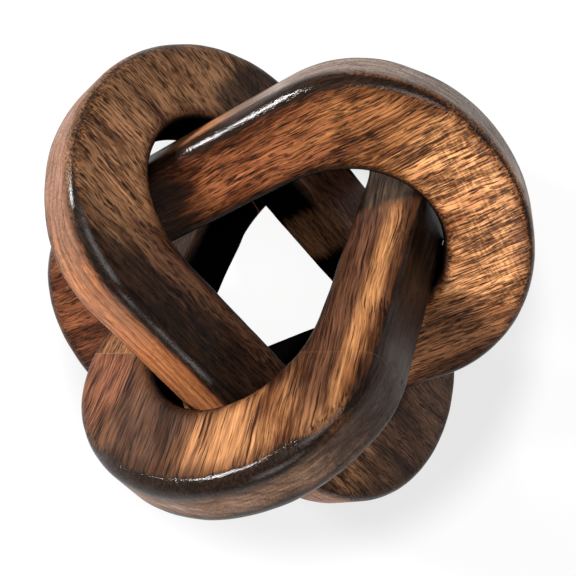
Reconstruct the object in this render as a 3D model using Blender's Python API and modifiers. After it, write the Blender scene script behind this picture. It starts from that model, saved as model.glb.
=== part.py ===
"""A wooden three-ring knot: three oblong rings, each passing through the next.

It lies collapsed on three ring ends.
Every ring is drawn flat in its own frame (long axis X, short axis Y, board face Z),
and is then leaned into the knot.
The lower ring is made of two J-shaped halves that close round the other two rings,
with two dowels in each joint.
Units are metres, +Z is up, and the floor under the knot is at Z = 0.
"""

import math

import bmesh
import bpy
from mathutils import Matrix, Vector

MM = 0.001

# Ring board, the same for all three rings
HALF_LENGTH = 75 * MM
HALF_WIDTH = 47 * MM
HALF_STRAIGHT = 33 * MM
THICKNESS = 19 * MM
EDGE_RADIUS = 3.8 * MM

# Ring hole: its length is shared, its width was cut by hand and differs from ring to ring
HOLE_HALF_LENGTH = 52.5 * MM
HOLE_HALF_STRAIGHT = 23 * MM

# Joints of the lower ring, straight across its arms at this distance either side of the middle
SEAM = 35.7 * MM
SEAM_GAP = 0.3 * MM
DOWEL_RADIUS = 3 * MM
DOWEL_LENGTH = 18 * MM
DOWEL_CHAMFER = 0.5 * MM
DOWEL_PAIR_CENTRE = 34.5 * MM
DOWEL_SPACING = 9 * MM
DOWEL_CLEARANCE = 0.3 * MM

# Smoothness of the curved parts
STEPS_PER_QUARTER = 12
EDGE_SEGMENTS = 2
DOWEL_SIDES = 20
SHARP_ANGLE = math.radians(40)

# How each ring lies: hole half width and hole shift, how much fuller its +X -Y corner was left,
# then its centre, and the lean of its axes in degrees.
# Roll is about the long axis, lift raises that axis from the floor, yaw turns it about the vertical.
RINGS = {
    "lower_ring": {
        "hole_half_width": 25.9 * MM,
        "hole_shift": (-1.0 * MM, 0.0),
        "fuller_corner": 0.0,
        "centre": (0.32 * MM, 0.27 * MM, 50.24 * MM),
        "roll": 36.08,
        "lift": 25.26,
        "yaw": -109.63,
    },
    "ring_right": {
        "hole_half_width": 24.2 * MM,
        "hole_shift": (0.0, 0.0),
        "fuller_corner": 0.0,
        "centre": (0.0, -0.55 * MM, 51.04 * MM),
        "roll": 31.90,
        "lift": 28.71,
        "yaw": 18.44,
    },
    "ring_left": {
        "hole_half_width": 23.4 * MM,
        "hole_shift": (1.0 * MM, 1.2 * MM),
        "fuller_corner": 1.2 * MM,
        "centre": (0.74 * MM, -0.95 * MM, 48.44 * MM),
        "roll": 32.79,
        "lift": 24.64,
        "yaw": 134.63,
    },
}

# Scorched, oiled hardwood: colour, roughness
WOODS = {
    "ring_right": ((0.36, 0.17, 0.08), 0.38),
    "ring_left": ((0.24, 0.14, 0.08), 0.42),
    "lower_ring_near_half": ((0.30, 0.16, 0.08), 0.38),
    "lower_ring_far_half": ((0.28, 0.15, 0.08), 0.40),
    "dowel": ((0.62, 0.46, 0.28), 0.60),
}


def clear_scene():
    for old in list(bpy.data.objects):
        bpy.data.objects.remove(old, do_unlink=True)


def new_collection(name):
    collection = bpy.data.collections.new(name)
    bpy.context.scene.collection.children.link(collection)
    return collection


def wood(name):
    colour, roughness = WOODS[name]
    material = bpy.data.materials.new(name + "_wood")
    material.use_nodes = True
    shader = material.node_tree.nodes["Principled BSDF"]
    shader.inputs["Base Color"].default_value = (*colour, 1.0)
    shader.inputs["Roughness"].default_value = roughness
    shader.inputs["Metallic"].default_value = 0.0
    return material


def oval(half_length, half_width, half_straight, shift=(0.0, 0.0), fuller_corner=0.0):
    """Points round an oval: straight sides along X, closed by half ellipses.

    A fuller corner widens the +X end on its -Y side, and the side runs straight from there.
    """
    end = half_length - half_straight
    steps = 2 * STEPS_PER_QUARTER
    half_turn = [math.pi * (step / steps - 0.5) for step in range(steps + 1)]
    points = [(half_straight + end * math.cos(a), half_width * math.sin(a)) for a in half_turn]
    other_end = [(-x, -y) for x, y in points]
    fuller = 1.0 + fuller_corner / half_width
    points = [(x, y * fuller if y < 0.0 else y) for x, y in points] + other_end
    return [(x + shift[0], y + shift[1]) for x, y in points]


def ring_board(name, lean, collection):
    """The ring before its edges are rounded: a flat strip between two ovals, thickened both ways."""
    shape = bmesh.new()
    outer = oval(HALF_LENGTH, HALF_WIDTH, HALF_STRAIGHT, fuller_corner=lean["fuller_corner"])
    hole = oval(HOLE_HALF_LENGTH, lean["hole_half_width"], HOLE_HALF_STRAIGHT, lean["hole_shift"])
    for points in (outer, hole):
        corners = [shape.verts.new((x, y, 0.0)) for x, y in points]
        for this, after in zip(corners, corners[1:] + corners[:1]):
            shape.edges.new((this, after))
    bmesh.ops.bridge_loops(shape, edges=shape.edges)
    mesh = bpy.data.meshes.new(name)
    shape.to_mesh(mesh)
    shape.free()
    board = bpy.data.objects.new(name, mesh)
    collection.objects.link(board)
    solid = board.modifiers.new("board_thickness", "SOLIDIFY")
    solid.thickness = THICKNESS
    solid.offset = 0.0
    return board


def round_edges(part, width, segments):
    bevel = part.modifiers.new("rounded_edges", "BEVEL")
    bevel.width = width
    bevel.segments = segments
    bevel.limit_method = "ANGLE"
    bevel.angle_limit = SHARP_ANGLE
    bevel.use_clamp_overlap = False


def smooth(part, material_name):
    part.data.materials.clear()
    part.data.materials.append(wood(material_name))
    part.data.shade_smooth()
    part.data.set_sharp_from_angle(angle=SHARP_ANGLE)


def ring_frame(name, lean, collection):
    """An empty at the ring's centre, turned the way the ring lies."""
    frame = bpy.data.objects.new(name + "_frame", None)
    frame.location = lean["centre"]
    frame.rotation_euler = [math.radians(angle) for angle in (lean["roll"], -lean["lift"], lean["yaw"])]
    collection.objects.link(frame)
    return frame


def block(name, low, high, turn, collection):
    """A box cutter between two corners, turned half round the Z axis or not."""
    shape = bmesh.new()
    bmesh.ops.create_cube(shape, size=1.0)
    size = Vector(high) - Vector(low)
    middle = (Vector(high) + Vector(low)) / 2
    bmesh.ops.scale(shape, vec=size, verts=shape.verts)
    bmesh.ops.translate(shape, vec=middle, verts=shape.verts)
    bmesh.ops.rotate(shape, matrix=Matrix.Rotation(turn, 3, "Z"), verts=shape.verts)
    return cutter(name, shape, collection)


def cutter(name, shape, collection):
    mesh = bpy.data.meshes.new(name)
    shape.to_mesh(mesh)
    shape.free()
    made = bpy.data.objects.new(name, mesh)
    made.hide_render = True
    made.display_type = "WIRE"
    collection.objects.link(made)
    return made


def rod(radius, length, centre):
    """A round rod along X, as a bmesh."""
    shape = bmesh.new()
    bmesh.ops.create_cone(
        shape, cap_ends=True, segments=DOWEL_SIDES, radius1=radius, radius2=radius, depth=length
    )
    bmesh.ops.rotate(shape, matrix=Matrix.Rotation(math.pi / 2, 3, "Y"), verts=shape.verts)
    bmesh.ops.translate(shape, vec=centre, verts=shape.verts)
    return shape


def cut(part, tool):
    boolean = part.modifiers.new("cut_" + tool.name, "BOOLEAN")
    boolean.operation = "DIFFERENCE"
    boolean.solver = "EXACT"
    boolean.object = tool


def whole_ring(name, parts):
    """A ring in one piece, under the frame it lies in."""
    lean = RINGS[name]
    frame = ring_frame(name, lean, parts)
    ring = ring_board(name, lean, parts)
    round_edges(ring, EDGE_RADIUS, EDGE_SEGMENTS)
    smooth(ring, name)
    ring.parent = frame


def dowel_places():
    """Centre of every dowel in the lower ring's frame: two across each joint."""
    for arm, side in (("left", -1), ("right", 1)):
        for place, step in (("inner", -0.5), ("outer", 0.5)):
            across = DOWEL_PAIR_CENTRE + step * DOWEL_SPACING
            yield f"dowel_{arm}_{place}", Vector((-side * SEAM, side * across, 0.0))


def split_ring(name, parts, cutters):
    """The lower ring: two J-shaped halves and the dowels across their joints."""
    lean = RINGS[name]
    frame = ring_frame(name, lean, parts)
    sockets = []
    for dowel_name, centre in dowel_places():
        radius = DOWEL_RADIUS + DOWEL_CLEARANCE
        length = DOWEL_LENGTH + 2 * DOWEL_CLEARANCE
        sockets.append(cutter("socket_for_" + dowel_name, rod(radius, length, centre), cutters))
    beyond = HALF_LENGTH + HALF_WIDTH
    corner = (-beyond, -beyond, -beyond)
    end_cut = (-SEAM + SEAM_GAP / 2, beyond, beyond)
    arm_cut = (SEAM + SEAM_GAP / 2, 0.0, beyond)
    for half, turn in (("near_half", 0.0), ("far_half", math.pi)):
        piece = ring_board(f"{name}_{half}", lean, parts)
        round_edges(piece, EDGE_RADIUS, EDGE_SEGMENTS)
        other_end = block(half + "_end_cut", corner, end_cut, turn, cutters)
        other_arm = block(half + "_arm_cut", corner, arm_cut, turn, cutters)
        for tool in [other_end, other_arm, *sockets]:
            cut(piece, tool)
            tool.parent = frame
        smooth(piece, f"{name}_{half}")
        piece.parent = frame
    for dowel_name, centre in dowel_places():
        mesh = bpy.data.meshes.new(dowel_name)
        shape = rod(DOWEL_RADIUS, DOWEL_LENGTH, Vector())
        shape.to_mesh(mesh)
        shape.free()
        dowel = bpy.data.objects.new(dowel_name, mesh)
        parts.objects.link(dowel)
        round_edges(dowel, DOWEL_CHAMFER, 1)
        smooth(dowel, "dowel")
        dowel.parent = frame
        dowel.location = centre


def main():
    clear_scene()
    parts = new_collection("three_ring_knot")
    cutters = new_collection("cutters")
    cutters.hide_render = True
    split_ring("lower_ring", parts, cutters)
    whole_ring("ring_right", parts)
    whole_ring("ring_left", parts)


main()
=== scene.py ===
"""A wooden three-ring knot on a white table: fine ring meshes, wood materials, light and camera.

Each ring is drawn in its own frame (long axis X, short axis Y, board face Z, in millimetres) and
then laid into the knot, the same way the CAD part does it. Every vertex keeps its place in the
ring's own frame as an attribute, so the grain follows the board and not the room.
"""

import math

import bmesh
import bpy
from mathutils import Euler, Matrix, Vector, noise


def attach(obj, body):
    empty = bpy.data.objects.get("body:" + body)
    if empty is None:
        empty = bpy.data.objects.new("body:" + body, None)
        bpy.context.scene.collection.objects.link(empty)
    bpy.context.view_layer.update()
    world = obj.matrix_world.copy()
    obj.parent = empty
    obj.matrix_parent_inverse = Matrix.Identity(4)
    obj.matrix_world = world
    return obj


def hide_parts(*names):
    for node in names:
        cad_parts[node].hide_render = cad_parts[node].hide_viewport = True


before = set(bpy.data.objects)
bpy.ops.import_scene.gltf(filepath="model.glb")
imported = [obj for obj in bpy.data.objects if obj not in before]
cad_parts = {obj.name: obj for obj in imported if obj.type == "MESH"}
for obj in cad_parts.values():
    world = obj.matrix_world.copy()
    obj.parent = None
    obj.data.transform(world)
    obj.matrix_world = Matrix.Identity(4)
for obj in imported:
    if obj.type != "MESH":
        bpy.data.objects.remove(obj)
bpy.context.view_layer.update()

MM = 0.001

# Ring board, in millimetres, as in the CAD part
HALF_LENGTH = 75.0
HALF_WIDTH = 47.0
HALF_STRAIGHT = 33.0
HALF_THICKNESS = 9.5
HOLE_HALF_LENGTH = 52.5
HOLE_HALF_STRAIGHT = 23.0
SEAM = 35.7
SEAM_HALF_GAP = 0.05
DOWEL_RADIUS = 3.0
DOWEL_LENGTH = 18.0
DOWEL_PAIR_CENTRE = 34.5
DOWEL_SPACING = 9.0
SOCKET_RADIUS = 3.3
SOCKET_DEPTH = 9.3

# How each ring lies: hole half width and shift, how much fuller its +X -Y corner was left, its
# centre, and the lean of its axes in degrees
RINGS = {
    "lower_ring": {
        "hole_half_width": 25.9,
        "hole_shift": (-1.0, 0.0),
        "fuller_corner": 0.0,
        "centre": (0.32, 0.27, 50.24),
        "roll": 36.08,
        "lift": 25.26,
        "yaw": -109.63,
    },
    "ring_right": {
        "hole_half_width": 24.2,
        "hole_shift": (0.0, 0.0),
        "fuller_corner": 0.0,
        "centre": (0.0, -0.55, 51.04),
        "roll": 31.90,
        "lift": 28.71,
        "yaw": 18.44,
    },
    "ring_left": {
        "hole_half_width": 23.4,
        "hole_shift": (1.0, 1.2),
        "fuller_corner": 1.2,
        "centre": (0.74, -0.95, 48.44),
        "roll": 32.79,
        "lift": 24.64,
        "yaw": 134.63,
    },
}

# Fineness of the ring meshes
END_STATIONS = 150
SIDE_STATIONS = 60
SECTION_PARTS = (
    ("top_face", 16),
    ("hole_top_round", 5),
    ("hole_wall", 8),
    ("hole_bottom_round", 5),
    ("bottom_face", 12),
    ("outer_bottom_round", 5),
    ("outer_wall", 8),
    ("outer_top_round", 6),
)
FAR_AWAY = 40.0
SOCKET_SIDES = 28
DOWEL_FLUTES = 12
DOWEL_SIDES_PER_FLUTE = 4
DOWEL_FLUTE_DEPTH = 0.12
DOWEL_CHAMFER = 0.5
DOWEL_TIP_SHARE = 0.82
CUT_TOLERANCE = 0.01

# Hand-rasped edges in millimetres: mean radius and how far it wanders, over what length
CRISP_RADIUS = 2.8
BOTTOM_CRISP_RADIUS = 1.9
EDGE_RADIUS = 4.3
EDGE_WANDER = 0.7
TOP_EDGE_WAVELENGTH = 9.0
BOTTOM_EDGE_WAVELENGTH = 11.0
HOLE_RADIUS = 3.6
HOLE_WANDER = 0.5
HOLE_EDGE_WAVELENGTH = 9.0

# Surface in millimetres: how far the wood lies inside the CAD faces, its gentle waves, and the
# tool marks, which are longer along and across the ring and fade out away from the edges
SKIN_INSET = 0.06
FACE_WAVE = 0.05
FACE_WAVELENGTH = 16.0
RASP_DEPTH = 0.14
RASP_WAVELENGTH = 2.6
RASP_STRETCH = 0.6
RASP_REACH = 3.0

# Where smooth noise is read for each seed, and what each use of it adds to the ring's seed
NOISE_SHIFT = (7.3, 3.1, 1.7)
RASP_SEED = 5.0
TOP_EDGE_SEED = 11.0
BOTTOM_EDGE_SEED = 13.0
HOLE_TOP_SEED = 17.0
HOLE_BOTTOM_SEED = 19.0

# An oval patch fades between these squared distances from its middle, in units of its radii
PATCH_OUTSIDE = 1.5
PATCH_INSIDE = 0.35

# The upper outer edge is crisp except in these stretches, where it was rounded over and burnt,
# and the lower outer edge is round except in one stretch that was left nearly square. Each
# stretch is a patch, with its middle and its radii along and across the ring.
SOFT_EDGES = {
    "ring_right": (((28.0, 44.0), (48.0, 26.0)), ((-60.0, 30.0), (40.0, 40.0))),
    "ring_left": (((30.0, 46.0), (60.0, 30.0)), ((64.0, 0.0), (30.0, 60.0))),
    "lower_ring": (
        ((62.0, 8.0), (30.0, 44.0)),
        ((20.0, 47.0), (40.0, 10.0)),
        ((-64.0, 0.0), (34.0, 60.0)),
    ),
}
CRISP_BOTTOM = {
    "ring_right": ((16.0, 50.0), (50.0, 22.0)),
    "ring_left": ((16.0, 50.0), (50.0, 18.0)),
    "lower_ring": ((4.0, 50.0), (44.0, 18.0)),
}

# ---------------------------------------------------------------- ring meshes


def oval_stations():
    """Places round an oval as (half turn or not, angle, along), along being 1 to -1 down a side."""
    for turned in (False, True):
        for step in range(END_STATIONS):
            yield turned, math.pi * (step / END_STATIONS - 0.5), 1.0
        for step in range(SIDE_STATIONS):
            yield turned, math.pi / 2, 1.0 - 2.0 * step / SIDE_STATIONS


def oval_point(station, half_length, half_width, half_straight, shift=(0.0, 0.0), fuller=0.0):
    """Point of the oval at a station, and the outline's outward direction there.

    The fuller corner widens the +X end on its -Y side, and the side runs straight from there.
    """
    turned, angle, along = station
    end = half_length - half_straight
    slope = 0.0
    if turned and angle == math.pi / 2:
        half_width += fuller * (1.0 - along) / 2.0
        slope = fuller / (2.0 * half_straight)
    elif not turned and angle < 0.0:
        half_width += fuller
    point = Vector((half_straight * along + end * math.cos(angle), half_width * math.sin(angle), 0.0))
    outward = Vector((math.cos(angle) / end + slope / half_width, math.sin(angle) / half_width, 0.0))
    outward.normalize()
    if turned:
        point = -point
        outward = -outward
    return point + Vector((shift[0], shift[1], 0.0)), outward


def wander(place, seed, wavelength):
    """Smooth noise from -1 to 1 with about that wavelength in millimetres."""
    shift = Vector([seed * share for share in NOISE_SHIFT])
    return noise.noise(place / wavelength + shift)


def inside_patch(place, centre, radii):
    """1 in the middle of an oval patch, falling smoothly to 0 outside it."""
    squared = ((place.x - centre[0]) / radii[0]) ** 2 + ((place.y - centre[1]) / radii[1]) ** 2
    share = min(1.0, max(0.0, (PATCH_OUTSIDE - squared) / (PATCH_OUTSIDE - PATCH_INSIDE)))
    return share * share * (3.0 - 2.0 * share)


def section(outer, outer_out, hole, hole_out, radii):
    """Points of the ring's cross-section: place, surface normal, distance past each rounded edge."""
    up = Vector((0.0, 0.0, 1.0))
    outer_top, outer_bottom, hole_top, hole_bottom = radii
    quarter = math.pi / 2
    for part, steps in SECTION_PARTS:
        for step in range(steps):
            t = step / steps
            side = 1.0 if "top" in part else -1.0
            outer_radius = outer_top if side > 0 else outer_bottom
            hole_radius = hole_top if side > 0 else hole_bottom
            outer_axis = outer - outer_out * outer_radius
            hole_axis = hole + hole_out * hole_radius
            width = (hole_axis - outer_axis).length
            if part in ("top_face", "bottom_face"):
                across = t if side > 0 else 1.0 - t
                place = outer_axis.lerp(hole_axis, across) + up * side * HALF_THICKNESS
                normal = up * side
                past_outer = outer_radius * quarter / 2 + across * width
                past_hole = hole_radius * quarter / 2 + (1.0 - across) * width
            elif part.startswith("hole") and part.endswith("round"):
                turn = quarter * (t if side > 0 else 1.0 - t)
                normal = up * side * math.cos(turn) - hole_out * math.sin(turn)
                place = hole_axis + up * side * (HALF_THICKNESS - hole_radius) + normal * hole_radius
                past_outer = FAR_AWAY
                past_hole = hole_radius * (quarter / 2 - turn)
            elif part.startswith("outer") and part.endswith("round"):
                turn = quarter * (1.0 - t if side > 0 else t)
                normal = up * side * math.cos(turn) + outer_out * math.sin(turn)
                place = outer_axis + up * side * (HALF_THICKNESS - outer_radius) + normal * outer_radius
                past_outer = outer_radius * (quarter / 2 - turn)
                past_hole = FAR_AWAY
            elif part == "hole_wall":
                top = HALF_THICKNESS - hole_top
                bottom = hole_bottom - HALF_THICKNESS
                height = top + (bottom - top) * t
                normal = -hole_out
                place = hole + up * height
                past_outer = FAR_AWAY
                past_hole = -hole_top * quarter / 2 - min(top - height, height - bottom)
            else:
                bottom = outer_bottom - HALF_THICKNESS
                top = HALF_THICKNESS - outer_top
                height = bottom + (top - bottom) * t
                normal = outer_out
                place = outer + up * height
                past_outer = -outer_top * quarter / 2 - min(top - height, height - bottom)
                past_hole = FAR_AWAY
            yield place, normal, past_outer, past_hole


def worn(place, normal, past_outer, past_hole, seed):
    """The place moved inwards by the wood's gentle waves, and by tool marks near the edges."""
    near_edge = math.exp(-((past_outer / RASP_REACH) ** 2)) + math.exp(-((past_hole / RASP_REACH) ** 2))
    wave = 0.5 + 0.5 * wander(place, seed, FACE_WAVELENGTH)
    stretched = Vector((place.x * RASP_STRETCH, place.y * RASP_STRETCH, place.z))
    marks = 0.5 + 0.5 * wander(stretched, seed + RASP_SEED, RASP_WAVELENGTH)
    depth = SKIN_INSET + FACE_WAVE * wave + RASP_DEPTH * marks * min(1.0, near_edge)
    return place - normal * depth


def ring_shape(name, seed):
    """The whole ring as a bmesh in its own frame, with the edge distances as vertex layers."""
    lean = RINGS[name]
    shape = bmesh.new()
    outer_layer = shape.verts.layers.float.new("past_outer")
    hole_layer = shape.verts.layers.float.new("past_hole")
    rows = []
    for station in oval_stations():
        outer, outer_out = oval_point(
            station, HALF_LENGTH, HALF_WIDTH, HALF_STRAIGHT, fuller=lean["fuller_corner"]
        )
        hole, hole_out = oval_point(
            station, HOLE_HALF_LENGTH, lean["hole_half_width"], HOLE_HALF_STRAIGHT, lean["hole_shift"]
        )
        soft = max(inside_patch(outer, centre, size) for centre, size in SOFT_EDGES[name])
        top_radius = CRISP_RADIUS + (EDGE_RADIUS - CRISP_RADIUS) * soft
        crisp = inside_patch(outer, *CRISP_BOTTOM[name])
        bottom_radius = EDGE_RADIUS + (BOTTOM_CRISP_RADIUS - EDGE_RADIUS) * crisp
        top_wander = wander(outer, seed + TOP_EDGE_SEED, TOP_EDGE_WAVELENGTH)
        bottom_wander = wander(outer, seed + BOTTOM_EDGE_SEED, BOTTOM_EDGE_WAVELENGTH)
        radii = [
            top_radius + EDGE_WANDER * soft * top_wander,
            bottom_radius + EDGE_WANDER * (1.0 - crisp) * bottom_wander,
            HOLE_RADIUS + HOLE_WANDER * wander(hole, seed + HOLE_TOP_SEED, HOLE_EDGE_WAVELENGTH),
            HOLE_RADIUS + HOLE_WANDER * wander(hole, seed + HOLE_BOTTOM_SEED, HOLE_EDGE_WAVELENGTH),
        ]
        row = []
        for place, normal, past_outer, past_hole in section(outer, outer_out, hole, hole_out, radii):
            corner = shape.verts.new(worn(place, normal, past_outer, past_hole, seed))
            corner[outer_layer] = past_outer
            corner[hole_layer] = past_hole
            row.append(corner)
        rows.append(row)
    for this, after in zip(rows, rows[1:] + rows[:1]):
        for index in range(len(this)):
            following = (index + 1) % len(this)
            shape.faces.new((this[index], after[index], after[following], this[following]))
    bmesh.ops.recalc_face_normals(shape, faces=shape.faces)
    return shape


def cut_arm(shape, cut_x, keep_sign, arm_sign):
    """Cuts the arm on one side of the ring at x = cut_x, and returns the open edges left there."""
    verts = [v for v in shape.verts if v.co.y * arm_sign > 0]
    chosen = set(verts)
    edges = [e for e in shape.edges if chosen.issuperset(e.verts)]
    faces = [f for f in shape.faces if chosen.issuperset(f.verts)]
    bmesh.ops.bisect_plane(
        shape,
        geom=verts + edges + faces,
        plane_co=(cut_x, 0.0, 0.0),
        plane_no=(keep_sign, 0.0, 0.0),
        clear_inner=True,
    )
    return [
        e
        for e in shape.edges
        if e.is_boundary
        and all(abs(v.co.x - cut_x) < CUT_TOLERANCE and v.co.y * arm_sign > 0 for v in e.verts)
    ]


def close_joint(shape, rim, cut_x, keep_sign, arm_sign):
    """Closes a cut arm with a flat joint face that has the two dowel sockets sunk in it."""
    for edge in rim:
        edge.smooth = False
    circles = []
    for step in (-0.5, 0.5):
        across = arm_sign * (DOWEL_PAIR_CENTRE + step * DOWEL_SPACING)
        made = bmesh.ops.create_circle(
            shape,
            segments=SOCKET_SIDES,
            radius=SOCKET_RADIUS,
            matrix=Matrix.Translation((cut_x, across, 0.0)) @ Matrix.Rotation(math.pi / 2, 4, "Y"),
        )
        circles.append([e for v in made["verts"] for e in v.link_edges if e.verts[0] == v])
    bmesh.ops.triangle_fill(shape, edges=rim + circles[0] + circles[1], use_beauty=True)
    for circle in circles:
        wall = bmesh.ops.extrude_edge_only(shape, edges=circle)["geom"]
        corners = [g for g in wall if isinstance(g, bmesh.types.BMVert)]
        bmesh.ops.translate(shape, vec=(keep_sign * SOCKET_DEPTH, 0.0, 0.0), verts=corners)
        floor_edges = [e for e in wall if isinstance(e, bmesh.types.BMEdge)]
        floor_edges = [e for e in floor_edges if all(v in corners for v in e.verts)]
        bmesh.ops.edgenet_fill(shape, edges=floor_edges)


def half_shape(seed, far):
    """One J-shaped half of the lower ring: an end of the ring with one arm left long."""
    shape = ring_shape("lower_ring", seed)
    sign = -1.0 if far else 1.0
    long_cut = -sign * (SEAM - SEAM_HALF_GAP)
    short_cut = sign * (SEAM + SEAM_HALF_GAP)
    ends = []
    for cut_x, arm_sign in ((long_cut, sign), (short_cut, -sign)):
        rim = cut_arm(shape, cut_x, sign, arm_sign)
        ends.append((rim, cut_x, arm_sign))
    for rim, cut_x, arm_sign in ends:
        close_joint(shape, rim, cut_x, sign, arm_sign)
    bmesh.ops.recalc_face_normals(shape, faces=shape.faces)
    return shape


def dowel_shape(centre):
    """A fluted dowel along X with chamfered ends."""
    shape = bmesh.new()
    shape.verts.layers.float.new("past_outer")
    shape.verts.layers.float.new("past_hole")
    half = DOWEL_LENGTH / 2
    body = half - DOWEL_CHAMFER
    sides = DOWEL_FLUTES * DOWEL_SIDES_PER_FLUTE
    tip = DOWEL_TIP_SHARE
    rings = []
    for x, share in ((-half, tip), (-body, 1.0), (0.0, 1.0), (body, 1.0), (half, tip)):
        row = []
        for index in range(sides):
            angle = 2 * math.pi * index / sides
            flute = 1.0 - abs(math.cos(DOWEL_FLUTES * angle / 2))
            radius = share * DOWEL_RADIUS - DOWEL_FLUTE_DEPTH * flute
            across = radius * math.cos(angle)
            height = radius * math.sin(angle)
            row.append(shape.verts.new(centre + Vector((x, across, height))))
        rings.append(row)
    for this, after in zip(rings, rings[1:]):
        for index in range(sides):
            following = (index + 1) % sides
            shape.faces.new((this[index], this[following], after[following], after[index]))
    shape.faces.new(rings[0])
    shape.faces.new(rings[-1])
    bmesh.ops.recalc_face_normals(shape, faces=shape.faces)
    return shape


def ring_matrix(lean):
    """Takes a point in a ring's own frame, in millimetres, to its place in the knot, in metres."""
    turn = Euler([math.radians(a) for a in (lean["roll"], -lean["lift"], lean["yaw"])], "XYZ")
    return Matrix.Scale(MM, 4) @ Matrix.Translation(lean["centre"]) @ turn.to_matrix().to_4x4()


def make_piece(name, shape, lean, material, body, node):
    """Turns a bmesh in a ring's frame into a finished piece that rides on its body."""
    mesh = bpy.data.meshes.new(name)
    shape.to_mesh(mesh)
    shape.free()
    place = mesh.attributes.new("ring_place", "FLOAT_VECTOR", "POINT")
    values = [component for vertex in mesh.vertices for component in vertex.co]
    place.data.foreach_set("vector", values)
    mesh.transform(ring_matrix(lean))
    mesh.shade_smooth()
    mesh.materials.append(material)
    piece = bpy.data.objects.new(name, mesh)
    bpy.context.scene.collection.objects.link(piece)
    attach(piece, body)
    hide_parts(node)
    return piece


# ---------------------------------------------------------------- materials


def colour(red, green, blue):
    """A colour given as screen values from 0 to 255, as the linear values that shaders use.

    The numbers in it are those of sRGB's own curve.
    """
    linear = []
    for value in (red, green, blue):
        share = value / 255
        linear.append(share / 12.92 if share <= 0.04045 else ((share + 0.055) / 1.055) ** 2.4)
    return (*linear, 1.0)


# Relief of the wood: how strongly it tilts the normals, and its height in metres
RELIEF_STRENGTH = 0.6
RELIEF_HEIGHT = 0.18 * MM

# The brightest that a ramp's colours can be
RAMP_CEILING = 2.0

# The Mix node's sockets for colours: the two that go in, and the result
MIX_FIRST = 6
MIX_SECOND = 7
MIX_RESULT = 2


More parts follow.
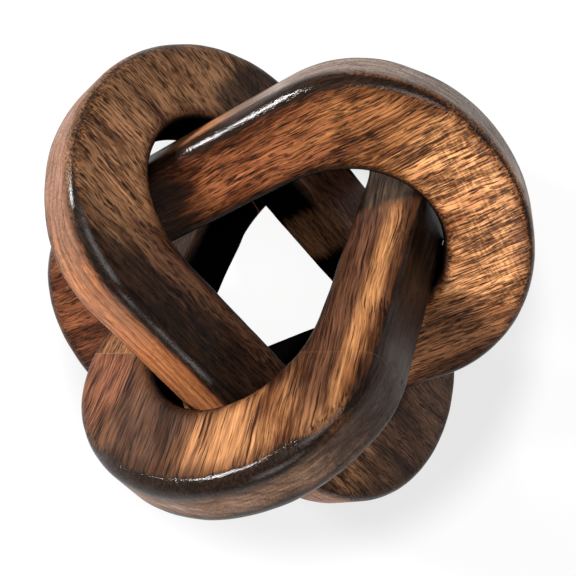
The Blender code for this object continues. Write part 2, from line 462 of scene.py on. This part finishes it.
class Recipe:
    """Adds nodes to one material. Every method returns the socket that holds its result."""

    def __init__(self, name):
        self.material = bpy.data.materials.new(name)
        self.material.use_nodes = True
        self.tree = self.material.node_tree
        self.shader = self.tree.nodes["Principled BSDF"]

    def put(self, socket, value):
        if isinstance(value, bpy.types.NodeSocket):
            self.tree.links.new(value, socket)
        else:
            socket.default_value = value

    def attribute(self, name, output):
        node = self.tree.nodes.new("ShaderNodeAttribute")
        node.attribute_name = name
        return node.outputs[output]

    def math(self, operation, first, second=0.0):
        node = self.tree.nodes.new("ShaderNodeMath")
        node.operation = operation
        self.put(node.inputs[0], first)
        self.put(node.inputs[1], second)
        return node.outputs[0]

    def times(self, first, second):
        return self.math("MULTIPLY", first, second)

    def plus(self, first, second):
        return self.math("ADD", first, second)

    def step(self, value, low, high, bottom=0.0, top=1.0):
        """Smooth step from bottom to top as value goes from low to high."""
        node = self.tree.nodes.new("ShaderNodeMapRange")
        node.interpolation_type = "SMOOTHSTEP"
        for socket, setting in zip(node.inputs[:5], (value, low, high, bottom, top)):
            self.put(socket, setting)
        return node.outputs[0]

    def mix(self, share, first, second):
        node = self.tree.nodes.new("ShaderNodeMix")
        node.data_type = "RGBA"
        self.put(node.inputs[0], share)
        self.put(node.inputs[MIX_FIRST], first)
        self.put(node.inputs[MIX_SECOND], second)
        return node.outputs[MIX_RESULT]

    def mix_values(self, share, first, second):
        """The number between first and second by a share from 0 to 1."""
        return self.plus(first, self.times(share, second - first))

    def multiply(self, first, second, share=1.0):
        """Two colours multiplied; the second counts only by its share."""
        product = self.mix(share, first, second)
        product.node.blend_type = "MULTIPLY"
        return product

    def ramp(self, value, stops):
        """The colour of a value between stops of (place, colour).

        A ramp node holds nothing brighter than 1, so its colours are scaled down and up again.
        """
        node = self.tree.nodes.new("ShaderNodeValToRGB")
        self.put(node.inputs[0], value)
        elements = node.color_ramp.elements
        while len(elements) < len(stops):
            elements.new(1.0)
        for element, (stop, shade) in zip(elements, stops):
            element.position = stop
            element.color = (*[part / RAMP_CEILING for part in shade[:3]], 1.0)
        scaled = self.tree.nodes.new("ShaderNodeVectorMath")
        scaled.operation = "SCALE"
        self.put(scaled.inputs[0], node.outputs[0])
        scaled.inputs["Scale"].default_value = RAMP_CEILING
        return scaled.outputs[0]

    def stretch(self, place, size=(1.0, 1.0, 1.0), turn=0.0, shift=(0.0, 0.0, 0.0)):
        """Pattern space in which one unit is `size` millimetres along, across and through."""
        node = self.tree.nodes.new("ShaderNodeMapping")
        self.put(node.inputs["Vector"], place)
        node.inputs["Rotation"].default_value = (0.0, 0.0, math.radians(turn))
        node.inputs["Location"].default_value = shift
        scaled = self.tree.nodes.new("ShaderNodeMapping")
        self.put(scaled.inputs["Vector"], node.outputs[0])
        scaled.inputs["Scale"].default_value = [1.0 / s for s in size]
        return scaled.outputs[0]

    def noise(self, place, detail=3.0, roughness=0.55):
        node = self.tree.nodes.new("ShaderNodeTexNoise")
        self.put(node.inputs["Vector"], place)
        node.inputs["Scale"].default_value = 1.0
        node.inputs["Detail"].default_value = detail
        node.inputs["Roughness"].default_value = roughness
        return node.outputs["Fac"]

    def cells(self, place):
        """Distance to the nearest of a field of scattered points."""
        node = self.tree.nodes.new("ShaderNodeTexVoronoi")
        self.put(node.inputs["Vector"], place)
        node.inputs["Scale"].default_value = 1.0
        return node.outputs["Distance"]

    def bump(self, height):
        """Normals tilted by a relief height."""
        node = self.tree.nodes.new("ShaderNodeBump")
        node.inputs["Strength"].default_value = RELIEF_STRENGTH
        node.inputs["Distance"].default_value = RELIEF_HEIGHT
        self.put(node.inputs["Height"], height)
        return node.outputs[0]

    def shifted(self, place, amount_y, amount_z):
        """The place moved across the grain by two sockets, so straight lines begin to wander."""
        joined = self.tree.nodes.new("ShaderNodeCombineXYZ")
        self.put(joined.inputs[1], amount_y)
        self.put(joined.inputs[2], amount_z)
        added = self.tree.nodes.new("ShaderNodeVectorMath")
        added.operation = "ADD"
        self.put(added.inputs[0], place)
        self.put(added.inputs[1], joined.outputs[0])
        return added.outputs[0]

    def axes(self, place):
        node = self.tree.nodes.new("ShaderNodeSeparateXYZ")
        self.put(node.inputs[0], place)
        return node.outputs

    def patch(self, place, centre, radii, ragged):
        """1 inside a soft-edged oval patch with ragged borders, 0 outside."""
        x, y, _ = self.axes(place)
        along = self.times(self.plus(x, -centre[0]), 1.0 / radii[0])
        across = self.times(self.plus(y, -centre[1]), 1.0 / radii[1])
        squared = self.plus(self.times(along, along), self.times(across, across))
        return self.step(self.plus(squared, ragged), PATCH_OUTSIDE, PATCH_INSIDE)


# Sizes of the wood's patterns in millimetres: along, across and through the grain
SLOW_BEND = (40.0, 22.0, 22.0)
RIPPLE = (5.0, 3.0, 3.0)
BAND_LENGTH = 55.0
BAND_DEPTH = 5.0
STREAK = (18.0, 0.7, 0.7)
FIBRE = (8.0, 0.42, 0.42)
CROSS_TICK = (0.75, 3.4, 3.4)
GROWTH_WAVE = (45.0, 12.0, 9.0)
GROWTH_WAVE_HEIGHT = 9.0
PORE_CROWD = (16.0, 3.0, 3.0)
RAGGED_BORDER = (20.0, 2.4, 2.4)
WALL_LAYER = (34.0, 12.0, 1.0)
CLOUD = (26.0, 9.0, 9.0)
TORN_CHAR = (9.0, 9.0, 9.0)
GLOSS_CHANGE = (7.0, 7.0, 7.0)
CRACKLE = (1.6, 1.6, 1.0)

# How far each ring's patterns are moved for every step of its seed, so that no two boards match
SEED_SHIFT = (37.0, 19.0, 11.0)

# Where one look gives way to another, as the values between which it does
LATE_WOOD_RISE = (0.45, 0.93)
LATE_WOOD_END = (1.0, 0.95)
PORE_EDGE = 0.07
DASH_EDGE = (0.36, 0.20)
WALL_LAYER_EDGE = (0.36, 0.62)
CLOUD_EDGE = (0.50, 0.66)
FACE_TO_WALL = (-1.2, -3.2)
FACE_TO_HOLE = (0.6, -1.2)
OUTER_CHAR_EDGE = (-0.7, 0.9)
HOLE_CHAR_FADE = 1.6
HOLE_CHAR_FULL = -0.6
OUTER_HALO_EDGE = (-4.5, 0.0)
HOLE_HALO_FULL = 0.5
CHAR_AND_SHADOW_LIGHT_EDGE = (0.42, 0.68)
GLOSS_EDGE = (0.3, 0.7)

# Shares and strengths
PORE_CROWDING = 0.35
DASH_CROWDING = -0.5
BORDER_RAGGEDNESS = 2.4
DETAIL_ON_WALL = 0.4
PORES_ON_WALL = 0.45
DASHES_ON_WALL = 0.3
CHAR_TORN = 2.6
CHAR_FIBRES = 1.8
HOLE_CHAR_TORN = 0.5
ROUGHNESS_SPREAD = (-0.08, 0.10)
PORE_ROUGHNESS = 0.15
CHAR_ROUGHNESS = 0.10
STREAK_RELIEF = 0.5
GRAIN_RELIEF = 0.40
PORE_RELIEF = 0.8
GRAIN_THROUGH_COAT = 0.12
WOOD_SPECULAR = 0.18
CHAR_SPECULAR = 0.08

# The glue line: its fading edge in millimetres from the joint, and how it strengthens over the arm
GLUE_EDGE = (0.30, 0.10)
GLUE_REACH = (10.0, -10.0)
GLUE_STRENGTH = (0.06, 0.42)


def centred(r, value):
    """Noise from 0 to 1 moved to lie evenly round 0."""
    return r.plus(value, -0.5)


def grain_space(r, look, place, shift):
    """Pattern space along the grain: the ring's long axis, turned a little and wandering."""
    grain = r.stretch(place, turn=look["grain_turn"], shift=shift)
    slow = r.noise(r.stretch(grain, SLOW_BEND), detail=2.0)
    sway = r.times(centred(r, slow), look["sway"])
    grain = r.shifted(grain, sway, r.times(sway, 0.5))
    ripple = r.noise(r.stretch(grain, RIPPLE), detail=2.0)
    return r.shifted(grain, r.times(centred(r, ripple), look["ripple"]), 0.0)


def figure(r, look, place, grain):
    """Narrow streaks and single fibres, and the tone that they make together with broad bands."""
    band_size = (BAND_LENGTH, look["band_width"], BAND_DEPTH)
    bands = r.noise(r.stretch(grain, band_size), detail=3.0, roughness=0.6)
    streaks = r.noise(r.stretch(grain, STREAK), detail=3.0, roughness=0.65)
    fibres = r.noise(r.stretch(grain, FIBRE), detail=3.0, roughness=0.7)
    tone = r.times(centred(r, bands), look["band_contrast"])
    tone = r.plus(tone, r.times(centred(r, streaks), look["streak_contrast"]))
    tone = r.plus(tone, r.times(centred(r, fibres), look["fibre_contrast"]))
    for centre, radii, strength in look["cross_figure"]:
        ticks = r.noise(r.stretch(grain, CROSS_TICK), detail=2.0, roughness=0.6)
        share = r.times(r.patch(place, centre, radii, 0.0), strength)
        tone = r.plus(tone, r.times(centred(r, ticks), share))
    return streaks, fibres, r.ramp(r.plus(tone, 0.5), look["tones"])


def growth_lines(r, look, grain):
    """Dark late wood of the growth layers, which lie nearly parallel to the board's faces."""
    _, across, through = r.axes(grain)
    depth = r.plus(through, r.times(across, look["growth_slope"]))
    wave = r.noise(r.stretch(grain, GROWTH_WAVE), detail=2.0)
    depth = r.plus(depth, r.times(wave, GROWTH_WAVE_HEIGHT))
    year = r.math("FRACT", r.times(depth, 1.0 / look["growth_width"]))
    return r.times(r.step(year, *LATE_WOOD_RISE), r.step(year, *LATE_WOOD_END))


def open_pores(r, look, grain):
    """Open pores: irregular long ones, and short dashes of one size, both crowded in places."""
    crowd = centred(r, r.noise(r.stretch(grain, PORE_CROWD), detail=2.0))
    long_pores = r.noise(r.stretch(grain, look["pore_size"]), detail=1.0, roughness=0.4)
    long_pores = r.plus(long_pores, r.times(crowd, PORE_CROWDING))
    pores = r.step(long_pores, look["pore_level"], look["pore_level"] + PORE_EDGE)
    dashes = r.cells(r.stretch(grain, look["dash_size"]))
    dashes = r.step(r.plus(dashes, r.times(crowd, DASH_CROWDING)), *DASH_EDGE)
    return pores, dashes


def with_patches(r, base, patches, place, ragged):
    """The base colour with each patch's colour laid over its region of the ring; a few patches are
    painted light and shade: painted shadows, painted shade and a painted highlight.
    """
    for patch_colour, centre, radii, strength in patches:
        share = r.times(r.patch(place, centre, radii, ragged), strength)
        base = r.mix(share, base, patch_colour)
    return base


def bare_wood(r, look, place, past_outer, grain, detail, ragged):
    """The wood before burning, on face and outer wall; and its long pores, for the relief."""
    face = with_patches(r, look["face"], look["patches"], place, ragged)
    layers = r.noise(r.stretch(grain, WALL_LAYER), detail=3.0)
    wall = r.mix(r.step(layers, *WALL_LAYER_EDGE), look["wall"], look["wall_light"])
    wall = with_patches(r, wall, look["wall_patches"], place, ragged)
    on_wall = r.step(past_outer, *FACE_TO_WALL)
    clouds = r.noise(r.stretch(grain, CLOUD), detail=3.0, roughness=0.6)
    body = r.multiply(face, detail)
    body = r.multiply(body, look["cloud"], r.step(clouds, *CLOUD_EDGE))
    body = r.mix(on_wall, body, r.multiply(wall, detail, DETAIL_ON_WALL))
    growth = r.mix_values(on_wall, look["growth_strength"], look["wall_growth"])
    body = r.multiply(body, look["late_wood"], r.times(growth_lines(r, look, grain), growth))
    pores, dashes = open_pores(r, look, grain)
    for marks, face_strength, wall_share in (
        (pores, look["pore_strength"], PORES_ON_WALL),
        (dashes, look["dash_strength"], DASHES_ON_WALL),
    ):
        strength = r.mix_values(on_wall, face_strength, face_strength * wall_share)
        body = r.multiply(body, look["pore"], r.times(marks, strength))
    return body, pores


def char_and_shadow_shares(r, look, place, past_outer, past_hole, fibres, ragged, shift):
    """How charred each place is: by the outer edge, and in all with the painted shadows laid on as char;
    and the darker halo round both.
    """
    torn = centred(r, r.noise(r.stretch(place, TORN_CHAR, shift=shift), detail=4.0))
    torn = r.plus(r.times(torn, CHAR_TORN), r.times(centred(r, fibres), CHAR_FIBRES))
    reach = look["outer_char"]
    for centre, radii, extra in look["burnt_edges"]:
        reach = r.plus(reach, r.times(r.patch(place, centre, radii, 0.0), extra))
    outer_edge = r.plus(r.math("ABSOLUTE", r.plus(past_outer, look["char_shift"])), torn)
    inner_room = r.math("SUBTRACT", reach, outer_edge)
    outer_char = r.step(inner_room, *OUTER_CHAR_EDGE)
    hole_edge = r.plus(past_hole, r.times(torn, HOLE_CHAR_TORN))
    fade = look["hole_char"] + HOLE_CHAR_FADE
    full = look["hole_char"] + HOLE_CHAR_FULL
    char_and_painted_shadow = r.math("MAXIMUM", outer_char, r.step(hole_edge, fade, full))
    # Painted shadows: dark patches where another ring's shadow falls, added to the char mask
    for centre, radii, strength in look["painted_shadows"]:
        char_and_painted_shadow = r.math("MAXIMUM", char_and_painted_shadow, r.times(r.patch(place, centre, radii, ragged), strength))
    outer_halo = r.step(inner_room, *OUTER_HALO_EDGE)
    hole_halo = r.step(hole_edge, look["hole_halo"], HOLE_HALO_FULL)
    halo = r.times(r.math("MAXIMUM", outer_halo, hole_halo), look["halo"])
    return outer_char, char_and_painted_shadow, halo


def hole_lining(r, look, place, detail, ragged):
    """The inside of the hole: charred, with painted shade that keeps it near black, and painted light
    where light reaches in.
    """
    lining = look["inside"]
    for patch_colour, centre, radii, strength in look["painted_light_inside"]:
        share = r.times(r.patch(place, centre, radii, ragged), strength)
        lining = r.mix(share, lining, r.multiply(patch_colour, detail))
    return lining


def with_glue_line(r, look, place, body):
    """The body colour with a thin pale line where the lower ring's halves meet."""
    along, across, _ = r.axes(place)
    from_joint = r.math("ABSOLUTE", r.plus(r.math("ABSOLUTE", along), -SEAM))
    line = r.times(r.step(from_joint, *GLUE_EDGE), r.step(across, *GLUE_REACH, *GLUE_STRENGTH))
    return r.mix(line, body, look["glue"])


def oiled_gloss(r, look, place, pores, outer_char, shown):
    """A thin glossy coat, strongest on the charred edges, over wood of varying roughness."""
    changes = r.noise(r.stretch(place, GLOSS_CHANGE), detail=3.0)
    low, high = [look["roughness"] + spread for spread in ROUGHNESS_SPREAD]
    roughness = r.step(changes, *GLOSS_EDGE, low, high)
    roughness = r.plus(roughness, r.times(pores, PORE_ROUGHNESS))
    roughness = r.plus(roughness, r.times(outer_char, CHAR_ROUGHNESS))
    coat = r.plus(look["coat"], r.times(outer_char, look["char_coat"]))
    specular = r.mix_values(outer_char, WOOD_SPECULAR, CHAR_SPECULAR)
    r.put(r.shader.inputs["Roughness"], roughness)
    r.put(r.shader.inputs["Coat Weight"], r.times(coat, shown))
    r.put(r.shader.inputs["Coat Roughness"], look["coat_roughness"])
    r.put(r.shader.inputs["Specular Tint"], look["sheen"])
    r.put(r.shader.inputs["Specular IOR Level"], r.times(specular, shown))


def relief(r, look, place, streaks, fibres, pores, char_and_painted_shadow):
    """Raised grain, sunken pores and crackle on the char and on the painted shadows, most of which the
    coat smooths out.
    """
    crackle = r.times(r.noise(r.stretch(place, CRACKLE), detail=5.0, roughness=0.75), char_and_painted_shadow)
    height = r.times(r.plus(fibres, r.times(streaks, STREAK_RELIEF)), GRAIN_RELIEF)
    height = r.math("SUBTRACT", height, r.times(pores, PORE_RELIEF))
    height = r.plus(height, r.times(crackle, look["crackle"]))
    coat_height = r.times(height, GRAIN_THROUGH_COAT)
    coat_height = r.plus(coat_height, r.times(crackle, look["coat_crackle"]))
    r.put(r.shader.inputs["Normal"], r.bump(height))
    r.put(r.shader.inputs["Coat Normal"], r.bump(coat_height))


def wood(name, look):
    """Torched and oiled hardwood, from a table of colours and sizes."""
    r = Recipe(name)
    place = r.attribute("ring_place", "Vector")
    past_outer = r.attribute("past_outer", "Fac")
    past_hole = r.attribute("past_hole", "Fac")
    shift = [look["seed"] * step for step in SEED_SHIFT]
    grain = grain_space(r, look, place, shift)
    ragged = centred(r, r.noise(r.stretch(grain, RAGGED_BORDER), detail=4.0))
    ragged = r.times(ragged, BORDER_RAGGEDNESS)
    streaks, fibres, detail = figure(r, look, place, grain)
    body, pores = bare_wood(r, look, place, past_outer, grain, detail, ragged)
    outer_char, char_and_painted_shadow, halo = char_and_shadow_shares(
        r, look, place, past_outer, past_hole, fibres, ragged, shift
    )
    body = r.multiply(body, look["halo_tint"], halo)
    # The char colours paint both the real char and the painted shadows
    char_and_shadow_colour = r.mix(r.step(streaks, *CHAR_AND_SHADOW_LIGHT_EDGE), look["char_and_painted_shadow"], look["char_and_shadow_light"])
    body = r.mix(r.times(char_and_painted_shadow, look["char_and_shadow_strength"]), body, char_and_shadow_colour)
    in_hole = r.step(past_hole, *FACE_TO_HOLE)
    body = r.mix(in_hole, body, hole_lining(r, look, place, detail, ragged))
    if look["jointed"]:
        body = with_glue_line(r, look, place, body)
    r.put(r.shader.inputs["Base Color"], body)
    shown = r.math("SUBTRACT", 1.0, in_hole)
    oiled_gloss(r, look, place, pores, outer_char, shown)
    relief(r, look, place, streaks, fibres, pores, char_and_painted_shadow)
    return r.material


# Tone of the wood from darkest streak to lightest, multiplied into the region's own colour
PLAIN_TONES = (
    (0.20, (0.14, 0.10, 0.08, 1.0)),
    (0.37, (0.42, 0.36, 0.32, 1.0)),
    (0.50, (0.94, 0.92, 0.89, 1.0)),
    (0.63, (1.42, 1.41, 1.39, 1.0)),
    (0.82, (2.00, 2.00, 1.98, 1.0)),
)

# Named colours of the larger patches
RUST = colour(128, 72, 44)
DARK_RUST = colour(108, 60, 38)
UMBER = colour(72, 44, 33)
GREY_BROWN = colour(74, 50, 38)
PLUM_BLACK = colour(44, 25, 20)
# Olive brown of the wood, lightened a good deal as painted light
OLIVE_WITH_PAINTED_LIGHT = colour(206, 170, 132)

# Looks that all pieces share unless LOOKS says otherwise. A patch has its colour, its middle and
# its radii along and across the ring in millimetres, and its strength; a burnt edge has middle,
# radii and the extra reach of its char; a painted shadow or a cross figure has middle, radii and
# strength.
COMMON = {
    "sway": 7.0,
    "ripple": 0.5,
    "grain_turn": 0.0,
    "band_width": 8.0,
    "band_contrast": 0.7,
    "streak_contrast": 0.8,
    "fibre_contrast": 1.0,
    "cross_figure": (),
    "tones": PLAIN_TONES,
    "cloud": (0.52, 0.44, 0.40, 1.0),
    "growth_width": 3.1,
    "growth_slope": 0.35,
    "growth_strength": 0.25,
    "wall_growth": 0.7,
    "late_wood": (0.45, 0.38, 0.34, 1.0),
    "pore_size": (3.8, 0.50, 0.50),
    "pore_level": 0.585,
    "pore_strength": 0.85,
    "dash_size": (5.0, 0.85, 0.85),
    "dash_strength": 0.7,
    "pore": (0.16, 0.11, 0.08, 1.0),
    "face": colour(146, 94, 58),
    "wall": colour(122, 100, 86),
    "wall_light": colour(154, 133, 120),
    "char_and_painted_shadow": colour(18, 11, 8),
    "char_and_shadow_light": colour(46, 29, 21),
    # Colour multiplied in over the halo, which darkens the face towards the charred outer edge and round
    # the hole
    "halo_tint": (0.22, 0.15, 0.12, 1.0),
    # Inside the holes: partly char, partly painted shade that keeps the walls near black
    "inside": colour(6, 4, 4),
    "outer_char": 0.5,
    "char_shift": 0.0,
    "burnt_edges": (),
    "hole_char": 0.2,
    "hole_halo": 4.0,
    "char_and_shadow_strength": 0.96,
    "halo": 0.7,
    "patches": (),
    "wall_patches": (),
    "painted_light_inside": (),
    "painted_shadows": (),
    "roughness": 0.44,
    "coat": 0.05,
    "char_coat": 0.42,
    "coat_roughness": 0.06,
    "crackle": 3.5,
    "coat_crackle": 0.4,
    "sheen": (1.0, 0.80, 0.66, 1.0),
    "jointed": False,
    "glue": colour(176, 128, 92),
}

LOOKS = {
    "ring_right": {
        "seed": 1.0,
        "face": colour(156, 102, 60),
        "fibre_contrast": 1.5,
        "streak_contrast": 0.55,
        "cross_figure": (((68.0, -8.0), (14.0, 34.0), 0.6),),
        "patches": (
            (RUST, (4.0, 34.0), (40.0, 18.0), 0.8),
            (DARK_RUST, (-62.0, 0.0), (18.0, 40.0), 0.9),
            (colour(222, 158, 106), (64.0, -12.0), (22.0, 34.0), 0.85),
            # Darker brown towards the near arm: partly the wood's tone, partly painted shade
            (colour(112, 74, 50), (34.0, -38.0), (22.0, 14.0), 0.75),
        ),
        "burnt_edges": (((16.0, 47.0), (36.0, 16.0), 1.4), ((40.0, 40.0), (34.0, 20.0), 1.0)),
        # Painted shadow: the shadow that the left ring casts on this ring's arm, painted in char colours
        "painted_shadows": (((-17.0, 37.0), (14.0, 18.0), 0.95),),
        # Painted highlight: a lit gold-orange band on the outer wall next to the left ring
        "wall_patches": ((colour(190, 124, 82), (-6.0, 47.0), (20.0, 20.0), 0.8),),
        "outer_char": 0.7,
    },
    "ring_left": {
        "seed": 2.0,
        "face": colour(156, 114, 80),
        "ripple": 1.4,
        "fibre_contrast": 1.1,
        "streak_contrast": 0.5,
        "dash_size": (4.6, 0.95, 0.95),
        "dash_strength": 0.9,
        "pore_size": (2.6, 0.55, 0.55),
        "pore_strength": 0.6,
        "wall": colour(150, 92, 58),
        "wall_light": colour(184, 122, 80),
        "wall_patches": (
            (colour(126, 92, 74), (66.0, 10.0), (30.0, 50.0), 0.8),
            (colour(196, 124, 76), (0.0, 47.0), (30.0, 20.0), 0.8),
        ),
        "pore_level": 0.565,
        "patches": (
            (colour(192, 138, 98), (52.0, 16.0), (15.0, 16.0), 0.75),
            (colour(92, 58, 42), (0.0, 31.0), (46.0, 10.0), 0.8),
            (PLUM_BLACK, (4.0, 42.0), (48.0, 9.5), 0.88),
            (GREY_BROWN, (-62.0, 0.0), (18.0, 44.0), 0.9),
            # Painted shade on the -Y arm where it lies under the other rings, then a painted shadow cast
            # by the right ring's arm
            (colour(84, 48, 34), (6.0, -36.0), (28.0, 15.0), 0.85),
            (colour(48, 33, 26), (44.0, -34.0), (9.0, 17.0), 0.85),
        ),
        # Painted light: a lit patch on the wall inside the hole
        "painted_light_inside": ((colour(98, 68, 48), (-2.0, -22.0), (8.0, 8.0), 0.8),),
        "burnt_edges": (((22.0, 47.0), (42.0, 22.0), 1.8),),
    },
    "lower_ring_near": {
        "seed": 3.0,
        "jointed": True,
        "face": colour(108, 71, 47),
        "streak_contrast": 0.7,
        "band_contrast": 0.6,
        "fibre_contrast": 0.8,
        "pore_size": (15.0, 0.46, 0.46),
        "pore_level": 0.62,
        "pore_strength": 1.0,
        "dash_size": (13.0, 1.1, 1.1),
        "dash_strength": 0.55,
        "grain_turn": -6.0,
        "wall": colour(132, 98, 74),
        "wall_light": colour(168, 132, 106),
        "wall_patches": (
            (colour(34, 20, 15), (10.0, 50.0), (50.0, 16.0), 0.94),
            (colour(52, 32, 24), (44.0, 44.0), (24.0, 14.0), 0.8),
        ),
        "patches": (
            (colour(172, 120, 78), (60.0, 20.0), (14.0, 17.0), 0.9),
            (GREY_BROWN, (58.0, -12.0), (15.0, 14.0), 0.85),
            (colour(128, 78, 54), (46.0, -38.0), (22.0, 11.0), 0.85),
            (colour(170, 118, 74), (20.0, 40.0), (42.0, 3.0), 0.7),
            (UMBER, (15.0, 33.0), (40.0, 4.5), 0.6),
            # Painted light on the top of the near arm, where the right ring's shadow falls, over its
            # olive brown
            (OLIVE_WITH_PAINTED_LIGHT, (-24.0, 34.0), (10.0, 10.0), 0.8),
        ),
        "burnt_edges": (((66.0, 6.0), (20.0, 34.0), 2.8), ((20.0, 47.0), (40.0, 9.0), 0.8)),
        "char_shift": 0.8,
        "hole_halo": 6.0,
        "char_coat": 0.34,
    },
    "lower_ring_far": {
        "seed": 4.0,
        "jointed": True,
        "face": colour(128, 86, 56),
        "wall": colour(104, 84, 72),
        "wall_light": colour(132, 108, 92),
    },
    "dowel": {
        "seed": 5.0,
        "face": colour(206, 170, 122),
        "wall": colour(206, 170, 122),
        "wall_light": colour(222, 190, 146),
        "pore_strength": 0.3,
        "outer_char": -9.0,
        "coat": 0.0,
        "roughness": 0.6,
    },
}


def wood_for(name):
    return wood(name + "_wood", {**COMMON, **LOOKS[name]})


# ---------------------------------------------------------------- the pieces


def build_rings():
    for name, body, seed in (("ring_right", "right_ring", 1.0), ("ring_left", "left_ring", 2.0)):
        lean = RINGS[name]
        shape = ring_shape(name, seed)
        make_piece(name + "_look", shape, lean, wood_for(name), body, name)
    lean = RINGS["lower_ring"]
    for half, far, seed in (("near", False, 3.0), ("far", True, 4.0)):
        shape = half_shape(seed, far)
        name = "lower_ring_" + half
        material = wood_for(name)
        make_piece(name + "_look", shape, lean, material, "lower_ring", name + "_half")


def build_dowels():
    lean = RINGS["lower_ring"]
    material = wood_for("dowel")
    for arm, side in (("left", -1.0), ("right", 1.0)):
        for place, step in (("inner", -0.5), ("outer", 0.5)):
            across = side * (DOWEL_PAIR_CENTRE + step * DOWEL_SPACING)
            name = f"dowel_{arm}_{place}"
            shape = dowel_shape(Vector((-side * SEAM, across, 0.0)))
            make_piece(name + "_look", shape, lean, material, "lower_ring", name)


# ---------------------------------------------------------------- table, light and camera

# Metres from the middle of the table to each side, and the glow that keeps it white
TABLE_REACH = 20.0
TABLE_GLOW = 0.93
TABLE_COLOURS = (colour(72, 72, 72), colour(76, 76, 76))
TABLE_MOTTLE = (0.02, 0.02, 0.02)
TABLE_ROUGHNESS = 0.75
TABLE_SPECULAR = 0.2

# The soft shade round the knot: its middle, the radii in metres between which it fades outwards
# and inwards, and how much of the glow it takes away
SHADE_MIDDLE = (0.008, -0.004)
SHADE_OUTER_FADE = (0.095, 0.075)
SHADE_INNER_FADE = (0.045, 0.062)
SHADE_DEPTH = 0.19

# Lights: place, then width and height, in metres, and power in watts; all are aimed at one point
LIGHT_AIM = (0.0, 0.0, 0.05)
LIGHTS = {
    "left_key": ((-0.78, 0.22, 0.64), (0.12, 0.18), 15.0),
    "front_softbox": ((0.05, -0.85, 0.60), (0.30, 0.30), 2.2),
    "right_softbox": ((0.85, 0.40, 0.50), (0.50, 0.40), 0.8),
    "top_softbox": ((0.10, -0.10, 1.30), (0.60, 0.60), 6.2),
}

# Strength of the room's all-round light, and of the backdrop as the camera sees it
ROOM_GLOW = 0.08
BACKDROP_GLOW = 0.90

# Camera: nearly straight above the knot and a little to the front, in metres, degrees and, for
# lens and sensor, millimetres
CAMERA_PLACE = (0.00446, -0.04059, 0.27211)
CAMERA_TILT = (9.26, 0.096, 0.0)
CAMERA_LENS = 47.447
CAMERA_SENSOR = 36.0
CAMERA_CLIP_START = 0.01


def build_table():
    """A wide white table top with faint mottling, and a soft shade round the foot of the knot."""
    mesh = bpy.data.meshes.new("table_top")
    corners = [(TABLE_REACH * x, TABLE_REACH * y, 0.0) for x, y in ((-1, -1), (1, -1), (1, 1), (-1, 1))]
    mesh.from_pydata(corners, [], [(0, 1, 2, 3)])
    table = bpy.data.objects.new("table_top", mesh)
    bpy.context.scene.collection.objects.link(table)
    r = Recipe("white_table")
    coordinates = r.tree.nodes.new("ShaderNodeTexCoord")
    place = coordinates.outputs["Object"]
    mottle = r.noise(r.stretch(place, TABLE_MOTTLE), detail=3.0)
    r.put(r.shader.inputs["Base Color"], r.mix(mottle, *TABLE_COLOURS))
    r.put(r.shader.inputs["Roughness"], TABLE_ROUGHNESS)
    r.put(r.shader.inputs["Specular IOR Level"], TABLE_SPECULAR)
    r.put(r.shader.inputs["Emission Color"], (1.0, 1.0, 1.0, 1.0))
    x, y, _ = r.axes(place)
    along = r.plus(x, -SHADE_MIDDLE[0])
    across = r.plus(y, -SHADE_MIDDLE[1])
    away = r.math("SQRT", r.plus(r.times(along, along), r.times(across, across)))
    shade = r.times(r.step(away, *SHADE_OUTER_FADE), r.step(away, *SHADE_INNER_FADE))
    r.put(r.shader.inputs["Emission Strength"], r.mix_values(shade, TABLE_GLOW, TABLE_GLOW - SHADE_DEPTH))
    table.data.materials.append(r.material)


def build_lights():
    """Rectangular lights, all aimed at the knot."""
    for name, (place, size, power) in LIGHTS.items():
        data = bpy.data.lights.new(name, "AREA")
        data.shape = "RECTANGLE"
        data.size = size[0]
        data.size_y = size[1]
        data.energy = power
        light = bpy.data.objects.new(name, data)
        light.location = place
        towards = Vector(LIGHT_AIM) - Vector(place)
        light.rotation_euler = towards.to_track_quat("-Z", "Y").to_euler()
        bpy.context.scene.collection.objects.link(light)


def build_backdrop():
    """A dim room, with a pale backdrop that is seen behind the table but gives no light itself."""
    world = bpy.data.worlds.new("studio")
    world.use_nodes = True
    nodes = world.node_tree.nodes
    links = world.node_tree.links
    path = nodes.new("ShaderNodeLightPath")
    strength = nodes.new("ShaderNodeMapRange")
    strength.inputs["To Min"].default_value = ROOM_GLOW
    strength.inputs["To Max"].default_value = BACKDROP_GLOW
    links.new(path.outputs["Is Camera Ray"], strength.inputs["Value"])
    background = nodes["Background"]
    background.inputs["Color"].default_value = (1.0, 1.0, 1.0, 1.0)
    links.new(strength.outputs["Result"], background.inputs["Strength"])
    bpy.context.scene.world = world


def build_camera():
    data = bpy.data.cameras.new("camera")
    data.lens = CAMERA_LENS
    data.sensor_width = CAMERA_SENSOR
    data.clip_start = CAMERA_CLIP_START
    camera = bpy.data.objects.new("camera", data)
    camera.location = CAMERA_PLACE
    camera.rotation_euler = [math.radians(angle) for angle in CAMERA_TILT]
    bpy.context.scene.collection.objects.link(camera)
    bpy.context.scene.camera = camera


build_rings()
build_dowels()
build_table()
build_lights()
build_backdrop()
build_camera()
bpy.context.scene.view_settings.view_transform = "Standard"
